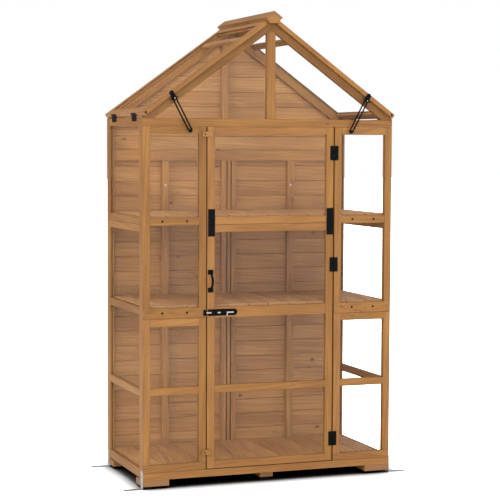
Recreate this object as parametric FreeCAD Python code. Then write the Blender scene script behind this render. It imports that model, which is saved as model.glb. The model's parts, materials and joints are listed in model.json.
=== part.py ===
import FreeCAD, Part
import math
import os
from collections import namedtuple

# Wooden mini greenhouse, in millimetres. X runs to the right along the front, Y to the back
# and Z up. The origin is on the ground, in the middle of the plan.

# Whole body
body_width = 1136.0
body_depth = 558.0
timber = 20.0
rail_height = 32.0
wide_rail_height = 45.0
seam = 0.5
fit = 0.3

# Clear sheets and their grooves
sheet_thickness = 4.0
groove_depth = 8.0

# Feet, blocks and apron
foot_radius = 19.0
foot_height = 12.0
foot_inset = 25.0
block_height = 26.0
corner_block_width = 116.0
corner_block_depth = 100.0
centre_block_width = 60.0
centre_block_depth = 100.0
centre_block_setback = 34.0
apron_height = 31.0

# Levels above the ground
floor_level = 86.0
low_rail_level = 396.0
side_low_rail_level = 390.0
middle_shelf_level = 771.0
upper_shelf_level = 1151.0
light_top_level = 1525.0
rafter_heel = 4.5

# Floor and shelves
board_thickness = 12.0
board_count = 12
board_gap = 3.0
floor_bearer_width = 45.0
shelf_bearer_width = 20.0
shelf_bearer_height = 32.0
shelf_rail_rise = 4.0
front_split_drop = 53.5

# Front lights
left_light_width = 278.5
light_stile = 32.0

# Door
door_width = 575.5
door_stile = 33.0
latch_gap = 5.0
hinge_gap = 6.3
door_bottom_gap = 3.0
door_top_gap = 2.5
door_split_drop = 39.0
mid_rail_drop = 9.0

# Side frames
side_front_stile = 30.0
side_rear_stile = 36.0
side_bottom_gap = 6.0
side_bottom_rail = 38.0
side_split_drop = 37.0

# Back wall
plank_thickness = 10.0
plank_pitch = 67.5
plank_gap = 0.4
first_plank_height = 30.5
tongue_length = 5.0
tongue_thickness = 3.0
plank_bevel = 1.5
batten_width = 33.0
batten_place = 304.0
centre_strip_width = 15.0
centre_batten_width = 23.0
centre_batten_gap = 4.5
gable_batten_width = 31.0
back_top_rail_height = 48.0
back_rail_top = 1423.0

# Roof
roof_pitch = 35.85
roof_thickness = 18.0
roof_seat = 0.5
eave_setback = 4.5
roof_overhang = 15.0
roof_rail_width = 32.0
eave_rail_width = 36.0
roof_sheet_cover = 3.0
cross_rail_from_top = 115.0
rafter_depth = 32.0
king_post_width = 40.0

# Ridge
ridge_overhang = 37.0
ridge_seat_half = 17.0
ridge_foot_half = 20.0
ridge_shoulder_half = 31.0
ridge_height = 42.0
cap_thickness = 8.0
cap_half_width = 32.5
cap_clearance = 0.5

# Hinges
leaf_thickness = 2.0
knuckle_gap = 0.3
pin_clearance = 0.05
door_hinge_height = 62.0
door_hinge_levels = (169.0, 931.5, 1414.0)
door_hinge_reach = 19.0
door_hinge_screw_reach = 11.4
door_hinge_screw_pitch = 22.0
door_knuckle_radius = 3.4
door_pin_radius = 1.6
roof_hinge_length = 65.0
roof_hinge_place = 155.0
roof_hinge_screw_place = 24.7
roof_hinge_drop = 17.0
roof_hinge_rise = 8.8
roof_knuckle_radius = 2.8
roof_pin_radius = 1.2

# Door fittings
strap_width = 30.5
strap_height = 115.0
strap_inset = 3.0
strap_lift = 7.5
strap_screw_side = 5.0
strap_screw_rises = (-46.0, -23.0, 23.0, 46.0)
handle_level = 873.0
handle_length = 96.0
handle_inset = 14.5
handle_plate_width = 24.0
handle_plate_height = 20.0
handle_plate_thickness = 2.5
handle_screw_side = 8.2
handle_projection = 28.0
handle_end_radius = 3.2
handle_middle_radius = 5.5
handle_sections = 7

# Barrel bolt and keeper
bolt_plate_length = 131.5
bolt_plate_height = 27.5
bolt_plate_inset = 3.0
bolt_screw_rise = 8.8
bolt_radius = 4.0
bolt_lift = 0.5
bolt_length = 130.0
bolt_throw = 15.0
guide_length = 26.0
guide_starts = (13.5, 54.0)
guide_wall = 3.0
lug_radius = 2.8
lug_length = 15.0
lug_clearance = 1.5
keeper_width = 10.0
keeper_height = 26.0
keeper_inset = 2.2

# Turn buttons
button_length = 43.0
button_height = 21.0
button_thickness = 10.0
button_corner = 4.0
button_pivot_inset = 12.0
button_levels = (144.0, 1491.5)
button_stile_inset = 7.5
button_screw_radius = 2.2
button_screw_head = 3.2

# Roof stays
stay_pivot_rise = 150.0
stay_pivot_depth = 10.0
stud_rise = 146.0
stud_drop = 14.4
stay_lean = 28.0
stay_width = 20.0
stay_thickness = 2.0
stay_slot_width = 8.0
stay_slot_start = 20.0
stay_slot_end = 170.0
stay_length = 184.0
stay_screw_length = 24.0
stud_radius = 2.0
stud_collar_radius = 5.0
stud_bite = 14.0
knob_hub_radius = 7.5
knob_depth = 10.0
knob_span = 31.0
knob_wing = 5.0

# Ground anchors
anchor_width = 25.0
anchor_thickness = 2.0
anchor_height = 78.0
anchor_reach = 80.0
anchor_inset = 14.0
anchor_hole_radius = 4.0
anchor_hole_edge = 18.0

# Screws
wood_screw_radius = 2.0
wood_screw_head = 5.0
wood_screw_head_height = 1.2
wood_screw_length = 36.0
fitting_screw_radius = 1.4
fitting_screw_head = 2.4
fitting_screw_head_height = 1.0
fitting_screw_length = 12.0
light_screw_inset = 85.0
batten_screw_drop = 159.0
batten_screw_cover = 2.0
screw_head_crown = 0.6

Vec = FreeCAD.Vector
Screw = namedtuple("Screw", "start direction radius length head_radius head_height")


# Plain shapes
def box(x, y, z):
    """Return a box from three (low, high) pairs."""
    return Part.makeBox(x[1] - x[0], y[1] - y[0], z[1] - z[0], Vec(x[0], y[0], z[0]))


def centred(middle, size):
    """Return the (low, high) pair of a size about its middle."""
    return (middle - size / 2, middle + size / 2)


def raised(low, height):
    """Return the (low, high) pair of a height above a level."""
    return (low, low + height)


def hung(high, height):
    """Return the (low, high) pair of a height below a level."""
    return (high - height, high)


def grown(span, by):
    """Return a (low, high) pair made longer at both ends."""
    return (span[0] - by, span[1] + by)


def opposite(span):
    """Return a (low, high) pair mirrored about zero."""
    return (-span[1], -span[0])


def upright(facing, across, up, thick):
    """Return a box of a wall that faces the front or a side."""
    if facing == "front":
        return box(across, thick, up)
    return box(thick, across, up)


def gable_prism(points, y):
    """Return a prism along Y over points (x, z)."""
    corners = [Vec(x, y[0], z) for x, z in points]
    face = Part.Face(Part.makePolygon(corners + corners[:1]))
    return face.extrude(Vec(0, y[1] - y[0], 0))


def mirrored(shape):
    """Return a shape mirrored from the right half to the left."""
    return shape.mirror(Vec(0, 0, 0), Vec(1, 0, 0))


def placed(shape, origin, x_axis, y_axis):
    """Return a shape moved from its own axes to the given ones."""
    z_axis = x_axis.cross(y_axis)
    matrix = FreeCAD.Matrix(
        x_axis.x, y_axis.x, z_axis.x, origin.x,
        x_axis.y, y_axis.y, z_axis.y, origin.y,
        x_axis.z, y_axis.z, z_axis.z, origin.z, 0, 0, 0, 1)
    moved = shape.copy()
    moved.Placement = FreeCAD.Placement(matrix).multiply(moved.Placement)
    return moved


def cut(solid, tool):
    """Return a solid less a tool, and the solid itself where they are apart."""
    if not solid.BoundBox.intersect(tool.BoundBox):
        return solid
    return solid.cut(tool).Solids[0]


def glazed_frame(facing, across, up, thick, stiles, rails, sill_under_stiles=False, sheet_cover=None):
    """Return the members and the sheets of one frame.

    across, up and thick are (low, high) pairs, stiles gives the two stile widths, and rails has
    the (low, high) pair of each rail from the bottom up. sheet_cover is the wood outside the
    sheets; without it they lie in the middle of the frame.
    """
    opening = (across[0] + stiles[0], across[1] - stiles[1])
    stile_up = (rails[0][1], up[1]) if sill_under_stiles else up
    members = [upright(facing, (across[0], opening[0]), stile_up, thick),
               upright(facing, (opening[1], across[1]), stile_up, thick)]
    for index, rail in enumerate(rails):
        full_width = sill_under_stiles and index == 0
        members.append(upright(facing, across if full_width else opening, rail, thick))
    groove_width = sheet_thickness + 2 * fit
    if sheet_cover is None:
        sheet_cover = (thick[1] - thick[0] - groove_width) / 2
    groove_thick = hung(thick[1] - sheet_cover, groove_width)
    sheet_thick = grown(groove_thick, -fit)
    sheets = []
    for below, above in zip(rails, rails[1:]):
        light = (below[1], above[0])
        groove = upright(facing, grown(opening, groove_depth), grown(light, groove_depth), groove_thick)
        members = [cut(member, groove) for member in members]
        reach = groove_depth - fit
        sheets.append(upright(facing, grown(opening, reach), grown(light, reach), sheet_thick))
    return members, sheets


# Levels and planes that several pieces share
base_level = foot_height + block_height
apron_top = base_level + apron_height
wall = body_width / 2
front = -body_depth / 2
rear = body_depth / 2
front_wall = (front, front + timber)
inner_wall = wall - timber
side_wall = (inner_wall, wall)
plank_wall = (rear - plank_thickness, rear)
batten_wall = (rear - plank_thickness - timber, rear - plank_thickness)
tie_beam_low = light_top_level + seam
tie_beam_top = tie_beam_low + rail_height
side_top = tie_beam_top + rafter_heel
middle_bearer_top = middle_shelf_level - board_thickness
upper_bearer_top = upper_shelf_level - board_thickness
front_split = middle_shelf_level - front_split_drop
door_split = upper_shelf_level - door_split_drop
side_split = upper_shelf_level - side_split_drop
door_left = -wall + left_light_width + latch_gap
door_right = door_left + door_width
door_across = (door_left, door_right)
left_light = (-wall, door_left - latch_gap)
right_light = (door_right + hinge_gap, wall)
mid_rail = hung(middle_shelf_level - mid_rail_drop, wide_rail_height)
bolt_level = sum(mid_rail) / 2

# Roof plane: the panel's inner eave corner, and the directions up the slope and out of it
pitch = math.radians(roof_pitch)
slope = math.tan(pitch)
eave = Vec(wall - eave_setback, 0, side_top + roof_seat + eave_setback * slope)
out = Vec(math.sin(pitch), 0, math.cos(pitch))
up_slope = Vec(-math.cos(pitch), 0, math.sin(pitch))
ridge_seat = side_top + (wall - ridge_seat_half) * slope
ridge_top = ridge_seat + ridge_height
roof_end = cap_half_width + cap_clearance
roof_length = (eave.x + roof_thickness * out.x - roof_end) / math.cos(pitch)
roof_across = grown((front, rear), roof_overhang)
ridge_along = grown((front, rear), ridge_overhang)


def rafter_line(x, below=0.0):
    """Return the height of the rafters' top edge, or of a line some depth square below it."""
    return side_top + (wall - abs(x)) * slope - below / math.cos(pitch)


def on_roof(shape):
    """Return a shape from the panel's own axes (out, along, up the slope) on the right slope."""
    return placed(shape, eave, out, Vec(0, 1, 0))


# Screws
def screw(start, direction, radius, length, head_radius, head_height):
    """Return a screw whose head sits at start and whose shank runs along direction."""
    return Screw(start, direction, radius, length, head_radius, head_height)


def wood_screw(start, direction):
    return screw(start, direction, wood_screw_radius, wood_screw_length,
                 wood_screw_head, wood_screw_head_height)


def fitting_screw(start, direction):
    return screw(start, direction, fitting_screw_radius, fitting_screw_length,
                 fitting_screw_head, fitting_screw_head_height)


def screw_solid(item):
    """Return one screw with a domed head."""
    shank = Part.makeCylinder(item.radius, item.length, item.start, item.direction)
    crown = item.head_radius * screw_head_crown
    head = Part.makeCone(item.head_radius, crown, item.head_height, item.start, item.direction * -1)
    return shank.fuse(head).removeSplitter().Solids[0]


def screw_hole(item):
    """Return the hole for one screw's shank."""
    return Part.makeCylinder(item.radius + pin_clearance, item.length + fit, item.start, item.direction)


def drilled(solid, items):
    """Return a solid with the holes of the screws that pass through it."""
    for item in items:
        solid = cut(solid, screw_hole(item))
    return solid


# Base
def round_feet():
    """Return six round feet."""
    corner_x = wall - foot_inset
    corner_y = rear - foot_inset
    centre_y = rear - centre_block_setback - foot_inset
    places = [(x, y) for x in (-corner_x, corner_x) for y in (-corner_y, corner_y)]
    places += [(0, -centre_y), (0, centre_y)]
    return [Part.makeCylinder(foot_radius, foot_height, Vec(x, y, 0)) for x, y in places]


def foot_blocks():
    """Return the four corner blocks and the two centre blocks."""
    up = (foot_height, base_level)
    corner = (wall - corner_block_width, wall)
    corner_depth = (rear - corner_block_depth, rear)
    centre_depth = hung(rear - centre_block_setback, centre_block_depth)
    blocks = [box(x, y, up) for x in (corner, opposite(corner))
              for y in (corner_depth, opposite(corner_depth))]
    blocks += [box(centred(0, centre_block_width), y, up) for y in (centre_depth, opposite(centre_depth))]
    return blocks


def front_apron():
    return [box((-wall, wall), front_wall, (base_level, apron_top))]


# Floor and shelves
def bearers(top, height, width):
    """Return a front and a rear bearer between the side frames."""
    across = (-inner_wall, inner_wall)
    up = (top - height, top)
    return [box(across, raised(front_wall[1], width), up), box(across, hung(batten_wall[0], width), up)]


def boards(level):
    """Return the boards of one level, laid from front to back."""
    room = (-inner_wall + seam, inner_wall - seam)
    pitch_across = (room[1] - room[0] + board_gap) / board_count
    along = (front_wall[1] + seam, batten_wall[0] - seam)
    up = (level - board_thickness, level)
    starts = [room[0] + index * pitch_across for index in range(board_count)]
    return [box((start, start + pitch_across - board_gap), along, up) for start in starts]


# Front lights
def light_lower(across):
    """Return the members and sheets of a light's lower frame."""
    up = (apron_top + seam, front_split)
    rails = [raised(up[0], rail_height), raised(low_rail_level, rail_height), hung(up[1], rail_height)]
    return glazed_frame("front", across, up, front_wall, (light_stile, light_stile), rails, True)


def light_upper(across):
    """Return the members and sheets of a light's upper frame."""
    up = (front_split + seam, light_top_level)
    shelf_rail = raised(upper_bearer_top - shelf_bearer_height + shelf_rail_rise, rail_height)
    rails = [raised(up[0], wide_rail_height), shelf_rail, hung(up[1], rail_height)]
    return glazed_frame("front", across, up, front_wall, (light_stile, light_stile), rails, True)


# Gable
def front_tie_beam():
    """Return the beam over the door, with the groove for the gable sheets."""
    beam = box((-wall, wall), front_wall, (tie_beam_low, tie_beam_top))
    return cut_by_gable_grooves([beam])


def rafter(y, foot_x, foot_z):
    """Return the right rafter in the wall y, from a foot corner to the middle of the ridge."""
    low_middle = rafter_line(0, rafter_depth)
    points = [(foot_x, rafter_line(foot_x)), (ridge_seat_half, ridge_seat), (0, ridge_seat),
              (0, low_middle)]
    low_x = (low_middle - foot_z) / slope
    if low_x < foot_x:
        points += [(low_x, foot_z), (foot_x, foot_z)]
    else:
        points += [(foot_x, rafter_line(foot_x, rafter_depth))]
    return gable_prism(points, y)


def front_rafters():
    right = rafter(front_wall, wall, tie_beam_top)
    return cut_by_gable_grooves([right, mirrored(right)])


def king_post():
    """Return the post from the tie beam into the angle of the rafters."""
    half = king_post_width / 2
    points = [(-half, tie_beam_top), (half, tie_beam_top), (half, rafter_line(half, rafter_depth)),
              (0, rafter_line(0, rafter_depth)), (-half, rafter_line(half, rafter_depth))]
    return cut_by_gable_grooves([gable_prism(points, front_wall)])


def gable_triangle(reach, thickness):
    """Return the right gable opening grown by a reach into the members round it."""
    low = tie_beam_top - reach
    left = king_post_width / 2 - reach
    depth = rafter_depth - reach
    middle_height = rafter_line(0, depth)
    points = [(left, low), ((middle_height - low) / slope, low), (left, rafter_line(left, depth))]
    return gable_prism(points, centred(sum(front_wall) / 2, thickness))


def cut_by_gable_grooves(members):
    groove = gable_triangle(groove_depth, sheet_thickness + 2 * fit)
    return [cut(cut(member, groove), mirrored(groove)) for member in members]


def gable_panes():
    right = gable_triangle(groove_depth - fit, sheet_thickness)
    return [right, mirrored(right)]


# Side frames
def side_lower():
    """Return the members and sheets of the right side's lower frame."""
    up = (base_level, side_split)
    rails = [raised(up[0] + side_bottom_gap, side_bottom_rail), raised(side_low_rail_level, rail_height),
             hung(middle_shelf_level - shelf_rail_rise, rail_height), hung(up[1], rail_height)]
    across = (front_wall[1], batten_wall[1])
    return glazed_frame("side", across, up, side_wall, (side_front_stile, side_rear_stile), rails)


def side_upper():
    """Return the members and sheets of the right side's upper frame."""
    up = (side_split + seam, side_top)
    rails = [raised(up[0], rail_height), hung(up[1], rail_height)]
    across = (front_wall[1], batten_wall[1])
    return glazed_frame("side", across, up, side_wall, (side_front_stile, side_rear_stile), rails)


# Back wall
def plank(low, height):
    """Return one tongue and groove plank over the whole width."""
    face, back = plank_wall
    middle = sum(plank_wall) / 2
    tongue = centred(middle, tongue_thickness)
    groove = grown(tongue, fit)
    high = low + height - plank_gap
    points = [(face, low + plank_bevel), (face + plank_bevel, low), (groove[0], low),
              (groove[0], low + tongue_length), (groove[1], low + tongue_length), (groove[1], low),
              (back, low), (back, high), (tongue[1], high), (tongue[1], high + tongue_length),
              (tongue[0], high + tongue_length), (tongue[0], high), (face + plank_bevel, high),
              (face, high - plank_bevel)]
    corners = [Vec(-wall, y, z) for y, z in points]
    section = Part.Face(Part.makePolygon(corners + corners[:1]))
    return section.extrude(Vec(body_width, 0, 0))


def back_planks():
    """Return the planks of the back wall and its gable, trimmed under the roof."""
    right = [(0, base_level), (wall, base_level), (wall, side_top), (ridge_seat_half, ridge_seat)]
    left = [(-x, z) for x, z in reversed(right[1:])]
    outline = gable_prism(right + left, grown(plank_wall, timber))
    planks = [plank(base_level, first_plank_height)]
    low = base_level + first_plank_height
    while low < ridge_seat - tongue_length:
        planks.append(plank(low, plank_pitch))
        low += plank_pitch
    return [item.common(outline).Solids[0] for item in planks]


def back_rails():
    """Return the bottom and top rails across the inside of the back, and the rail under its gable."""
    across = (-inner_wall, inner_wall)
    bottom = raised(base_level, rail_height)
    top = hung(back_rail_top, back_top_rail_height)
    return [box(across, batten_wall, up) for up in (bottom, top, (tie_beam_low, tie_beam_top))]


def back_battens():
    """Return the upright battens of the back: a pair, three strips in the centre, one in the gable."""
    up = (base_level + rail_height, back_rail_top - back_top_rail_height)
    centre = raised(centre_strip_width / 2 + centre_batten_gap, centre_batten_width)
    spans = [centred(batten_place, batten_width), centre]
    battens = [box(x, batten_wall, up) for span in spans for x in (span, opposite(span))]
    battens.append(box(centred(0, centre_strip_width), batten_wall, up))
    gable = raised(-centre[1], gable_batten_width)
    foot = [(x, tie_beam_top) for x in gable]
    head = [(x, rafter_line(x, rafter_depth)) for x in reversed(gable)]
    return battens + [gable_prism(foot + head, batten_wall)]


def back_rafters():
    right = rafter(batten_wall, inner_wall, tie_beam_top)
    return [right, mirrored(right)]


# Ridge
def ridge_beam():
    """Return the five-sided beam that lies on the rafters' tops."""
    shoulder = ridge_top - ridge_shoulder_half * slope
    right = [(ridge_foot_half, ridge_seat), (ridge_shoulder_half, shoulder), (0, ridge_top)]
    left = [(-x, z) for x, z in reversed(right[:2])]
    return [gable_prism(right + left, ridge_along)]


def ridge_cap_boards():
    """Return the two cap boards, mitred at the ridge."""
    low = Vec(cap_half_width, 0, ridge_top - cap_half_width * slope)
    high = low + out * cap_thickness
    crest = ridge_top + cap_thickness / math.cos(pitch)
    points = [(0, ridge_top), (low.x, low.z), (high.x, high.z), (0, crest)]
    right = gable_prism(points, ridge_along)
    return [right, mirrored(right)]


# Roof panels
def roof_panel():
    """Return the members and the sheet of the right roof panel, whose cross rail lies under the sheet."""
    rails = [(0, eave_rail_width), hung(roof_length, roof_rail_width)]
    members, sheets = glazed_frame("side", roof_across, (0, roof_length), (0, roof_thickness),
                                   (roof_rail_width, roof_rail_width), rails, False, roof_sheet_cover)
    cross_thickness = roof_thickness - roof_sheet_cover - sheet_thickness - 2 * fit
    members.append(upright("side", grown(roof_across, -roof_rail_width),
                           centred(roof_length - cross_rail_from_top, roof_rail_width), (0, cross_thickness)))
    return [on_roof(item) for item in members], [on_roof(item) for item in sheets]


# Hinges
def leaf(height, reach, knuckle_radius, pin_radius, own_spans, other_spans):
    """Return a hinge leaf about its own Z axis, flat against a face on its +Y side."""
    face = knuckle_radius + knuckle_gap
    solid = box((0, reach), (face - leaf_thickness, face), (0, height))
    for span in other_spans:
        room = grown((0, knuckle_radius), knuckle_gap)
        solid = solid.cut(box(room, (-face, face + fit), grown(span, knuckle_gap)))
    for span in own_spans:
        length = span[1] - span[0]
        solid = solid.fuse(Part.makeCylinder(knuckle_radius, length, Vec(0, 0, span[0])))
        web = box((0, knuckle_radius), (0, face), span)
        solid = solid.fuse(web)
    bore = Part.makeCylinder(pin_radius + pin_clearance, height, Vec(0, 0, 0))
    return solid.cut(bore).removeSplitter().Solids[0]


def knuckle_spans(height):
    """Return the fixed leaf's two knuckles and the moving leaf's one between them."""
    third = height / 3
    fixed = [(0, third - knuckle_gap), (2 * third + knuckle_gap, height)]
    return fixed, [(third, 2 * third)]


door_axis_x = door_right + hinge_gap / 2
door_axis_y = front - door_knuckle_radius - knuckle_gap
door_fixed_spans, door_moving_spans = knuckle_spans(door_hinge_height)
roof_fixed_spans, roof_moving_spans = knuckle_spans(roof_hinge_length)
roof_axis_gap = roof_knuckle_radius + knuckle_gap
roof_axis_x = wall + roof_axis_gap
roof_axis_z = eave.z + ((roof_axis_x - eave.x) * math.cos(pitch) - roof_axis_gap) / math.sin(pitch)


def door_hinge_leaves(moving):
    """Return the three leaves on the light, or the three on the door."""
    own, other = (door_moving_spans, door_fixed_spans) if moving else (door_fixed_spans, door_moving_spans)
    item = leaf(door_hinge_height, door_hinge_reach, door_knuckle_radius, door_pin_radius, own, other)
    if moving:
        item = mirrored(item)
    leaves = []
    for level in door_hinge_levels:
        copy = item.copy()
        copy.translate(Vec(door_axis_x, door_axis_y, level - door_hinge_height / 2))
        leaves.append(copy)
    return leaves


def roof_hinge_fixed_leaves():
    """Return the two leaves on the right side frame."""
    drop = roof_axis_z - side_top + roof_hinge_drop
    item = leaf(roof_hinge_length, drop, roof_knuckle_radius, roof_pin_radius,
                roof_fixed_spans, roof_moving_spans)
    leaves = []
    for y in (-roof_hinge_place, roof_hinge_place):
        foot = Vec(roof_axis_x, y - roof_hinge_length / 2, roof_axis_z)
        leaves.append(placed(item, foot, Vec(0, 0, -1), Vec(-1, 0, 0)))
    return leaves


def roof_hinge_leaves():
    """Return the two leaves on the right roof panel's eave end."""
    item = leaf(roof_hinge_length, roof_hinge_rise, roof_knuckle_radius, roof_pin_radius,
                roof_moving_spans, roof_fixed_spans)
    return [placed(item, Vec(roof_axis_x, y + roof_hinge_length / 2, roof_axis_z), out, up_slope)
            for y in (-roof_hinge_place, roof_hinge_place)]


def hinge_pins():
    """Return the pins of the three door hinges and the four roof hinges."""
    pins = [Part.makeCylinder(door_pin_radius, door_hinge_height,
                              Vec(door_axis_x, door_axis_y, level - door_hinge_height / 2))
            for level in door_hinge_levels]
    for x in (-roof_axis_x, roof_axis_x):
        for y in (-roof_hinge_place, roof_hinge_place):
            foot = Vec(x, y - roof_hinge_length / 2, roof_axis_z)
            pins.append(Part.makeCylinder(roof_pin_radius, roof_hinge_length, foot, Vec(0, 1, 0)))
    return pins


def door_hinge_screws(side):
    """Return the screws of the door hinges on one side of the axis (1 is the light)."""
    x = door_axis_x + side * door_hinge_screw_reach
    return [fitting_screw(Vec(x, front - leaf_thickness, level + offset), Vec(0, 1, 0))
            for level in door_hinge_levels
            for offset in (-door_hinge_screw_pitch, 0, door_hinge_screw_pitch)]


def roof_hinge_screw_places():
    """Return the Y of each screw of the two hinges on one eave."""
    return [y + offset for y in (-roof_hinge_place, roof_hinge_place)
            for offset in (-roof_hinge_screw_place, roof_hinge_screw_place)]


# Door fittings
strap_level = door_split + strap_lift
strap_spans = [raised(door_left + strap_inset, strap_width), hung(door_right - 2 * fit, strap_width)]


def door_strap_plates():
    """Return the two plates that join the upper and the lower door frame."""
    return [box(x, (front - leaf_thickness, front), centred(strap_level, strap_height)) for x in strap_spans]


def strap_screws():
    """Return four screws in each strap plate, staggered left and right."""
    screws_in_strap = []
    for span in strap_spans:
        middle = sum(span) / 2
        for index, rise in enumerate(strap_screw_rises):
            x = middle - strap_screw_side if index % 2 else middle + strap_screw_side
            start = Vec(x, front - leaf_thickness, strap_level + rise)
            screws_in_strap.append(fitting_screw(start, Vec(0, 1, 0)))
    return screws_in_strap


handle_x = door_left + handle_inset
handle_plate_levels = [handle_level + side * (handle_length - handle_plate_height) / 2 for side in (-1, 1)]


def handle_ring(turn, half_span, plate_face):
    """Return one round section of the bow, at a turn from -1 (low end) to 1 (high end)."""
    radius = handle_end_radius + (handle_middle_radius - handle_end_radius) * (1 - turn * turn)
    z = handle_level + half_span * turn
    y = plate_face - handle_projection * (1 - turn * turn)
    tangent = Vec(0, 2 * handle_projection * turn, half_span)
    return Part.Wire(Part.makeCircle(radius, Vec(handle_x, y, z), tangent))


def door_handle():
    """Return the bow handle with its two end plates."""
    plate_face = front - handle_plate_thickness
    half_span = (handle_length - handle_plate_height) / 2
    turns = [2 * index / (handle_sections - 1) - 1 for index in range(handle_sections)]
    bow = Part.makeLoft([handle_ring(turn, half_span, plate_face) for turn in turns], True)
    for level in handle_plate_levels:
        across = centred(handle_x, handle_plate_width)
        bow = bow.fuse(box(across, (plate_face, front), centred(level, handle_plate_height)))
    clear = box(centred(handle_x, body_width), (front, 0), centred(handle_level, body_width))
    return [bow.cut(clear).removeSplitter().Solids[0]]


def handle_screws():
    y = front - handle_plate_thickness
    return [fitting_screw(Vec(handle_x + side, y, level), Vec(0, 1, 0))
            for side in (-handle_screw_side, handle_screw_side) for level in handle_plate_levels]


# Barrel bolt
bolt_y = front - leaf_thickness - bolt_lift - bolt_radius
bolt_plate_left = door_left + bolt_plate_inset
bolt_tip = door_left - bolt_throw
guide_half = bolt_radius + guide_wall
guide_spans = [raised(bolt_plate_left + start, guide_length) for start in guide_starts]
lug_x = guide_spans[-1][1] + lug_radius + lug_clearance


def bolt_plate():
    """Return the plate with its two guides bored for the bolt."""
    half = bolt_plate_height / 2
    right = bolt_plate_left + bolt_plate_length
    face = front - leaf_thickness
    plate = box((bolt_plate_left, right - half), (face, front), centred(bolt_level, 2 * half))
    end = Part.makeCylinder(half, leaf_thickness, Vec(right - half, face, bolt_level), Vec(0, 1, 0))
    plate = plate.fuse(end)
    for span in guide_spans:
        hoop = Part.makeCylinder(guide_half, guide_length, Vec(span[0], bolt_y, bolt_level), Vec(1, 0, 0))
        foot = box(span, (bolt_y, face), centred(bolt_level, 2 * guide_half))
        plate = plate.fuse(hoop.fuse(foot))
    behind = box((bolt_plate_left, right), (front, 0), centred(bolt_level, 4 * half))
    bore = Part.makeCylinder(bolt_radius + pin_clearance, bolt_plate_length,
                             Vec(bolt_plate_left, bolt_y, bolt_level), Vec(1, 0, 0))
    return [plate.cut(behind).cut(bore).removeSplitter().Solids[0]]


def bolt_plate_screws():
    left = bolt_plate_left + guide_starts[0] / 2
    middle = (guide_spans[0][1] + guide_spans[1][0]) / 2
    right = bolt_plate_left + bolt_plate_length - bolt_plate_height / 2
    return [fitting_screw(Vec(x, front - leaf_thickness, bolt_level + rise), Vec(0, 1, 0))
            for x in (left, middle, right) for rise in (-bolt_screw_rise, bolt_screw_rise)]


def barrel_bolt():
    """Return the sliding bolt with its lug hanging down."""
    rod = Part.makeCylinder(bolt_radius, bolt_length, Vec(bolt_tip, bolt_y, bolt_level), Vec(1, 0, 0))
    lug = Part.makeCylinder(lug_radius, lug_length, Vec(lug_x, bolt_y, bolt_level), Vec(0, 0, -1))
    return [rod.fuse(lug).removeSplitter().Solids[0]]


keeper_x = door_left - latch_gap - keeper_inset - keeper_width / 2


def bolt_keeper():
    """Return the keeper on the left light, a plate with a hoop that takes the bolt's tip."""
    across = centred(keeper_x, keeper_width)
    plate = box(across, (front - leaf_thickness, front), centred(bolt_level, keeper_height))
    hoop = Part.makeCylinder(guide_half, keeper_width, Vec(across[0], bolt_y, bolt_level), Vec(1, 0, 0))
    foot = box(across, (bolt_y, front - leaf_thickness), centred(bolt_level, 2 * guide_half))
    behind = box(across, (front, 0), centred(bolt_level, keeper_height))
    bore = Part.makeCylinder(bolt_radius + pin_clearance, keeper_width,
                             Vec(across[0], bolt_y, bolt_level), Vec(1, 0, 0))
    return [plate.fuse(hoop).fuse(foot).cut(behind).cut(bore).removeSplitter().Solids[0]]


def keeper_screws():
    offset = (keeper_height / 2 + guide_half) / 2
    return [fitting_screw(Vec(keeper_x, front - leaf_thickness, bolt_level + side * offset), Vec(0, 1, 0))
            for side in (-1, 1)]


# Turn buttons
button_pivot_x = door_left - latch_gap - button_stile_inset
button_face = front - fit - button_thickness


def turn_button(level):
    """Return one turn button, laid across the gap onto the door."""
    left = button_pivot_x - button_pivot_inset
    solid = box((left, left + button_length), (button_face, front - fit), centred(level, button_height))
    upright_edges = [edge for edge in solid.Edges if abs(edge.tangentAt(edge.FirstParameter).y) > 0.5]
    solid = solid.makeFillet(button_corner, upright_edges)
    hole = Part.makeCylinder(button_screw_radius + pin_clearance, button_thickness,
                             Vec(button_pivot_x, button_face, level), Vec(0, 1, 0))
    return [solid.cut(hole).Solids[0]]


def turn_button_screws():
    """Return the two pivot screws of the turn buttons."""
    return [screw(Vec(button_pivot_x, button_face - fit, level), Vec(0, 1, 0), button_screw_radius,
                  button_thickness + timber, button_screw_head, wood_screw_head_height)
            for level in button_levels]


# Roof stays
stay_rear = front - roof_overhang - fit
stay_face = stay_rear - stay_thickness
stay_pivot = eave + up_slope * stay_pivot_rise + out * stay_pivot_depth
stud = eave + up_slope * stud_rise - out * stud_drop


def roof_stay():
    """Return the right stay, a slotted flat arm hung from the roof rail."""
    half = stay_width / 2
    slot = stay_slot_width / 2
    arm = box((-half, half), (0, stay_thickness), (-stay_length + half, 0))
    for z in (0, -stay_length + half):
        arm = arm.fuse(Part.makeCylinder(half, stay_thickness, Vec(0, 0, z), Vec(0, 1, 0)))
    gap = box((-slot, slot), (0, stay_thickness), (-stay_slot_end + slot, -stay_slot_start - slot))
    for z in (-stay_slot_end + slot, -stay_slot_start - slot):
        gap = gap.fuse(Part.makeCylinder(slot, stay_thickness, Vec(0, 0, z), Vec(0, 1, 0)))
    hole = Part.makeCylinder(wood_screw_radius + pin_clearance, stay_thickness, Vec(0, 0, 0), Vec(0, 1, 0))
    arm = arm.cut(gap).cut(hole).removeSplitter().Solids[0]
    arm.rotate(Vec(0, 0, 0), Vec(0, 1, 0), stay_lean)
    arm.translate(Vec(stay_pivot.x, stay_face, stay_pivot.z))
    return arm


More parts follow.
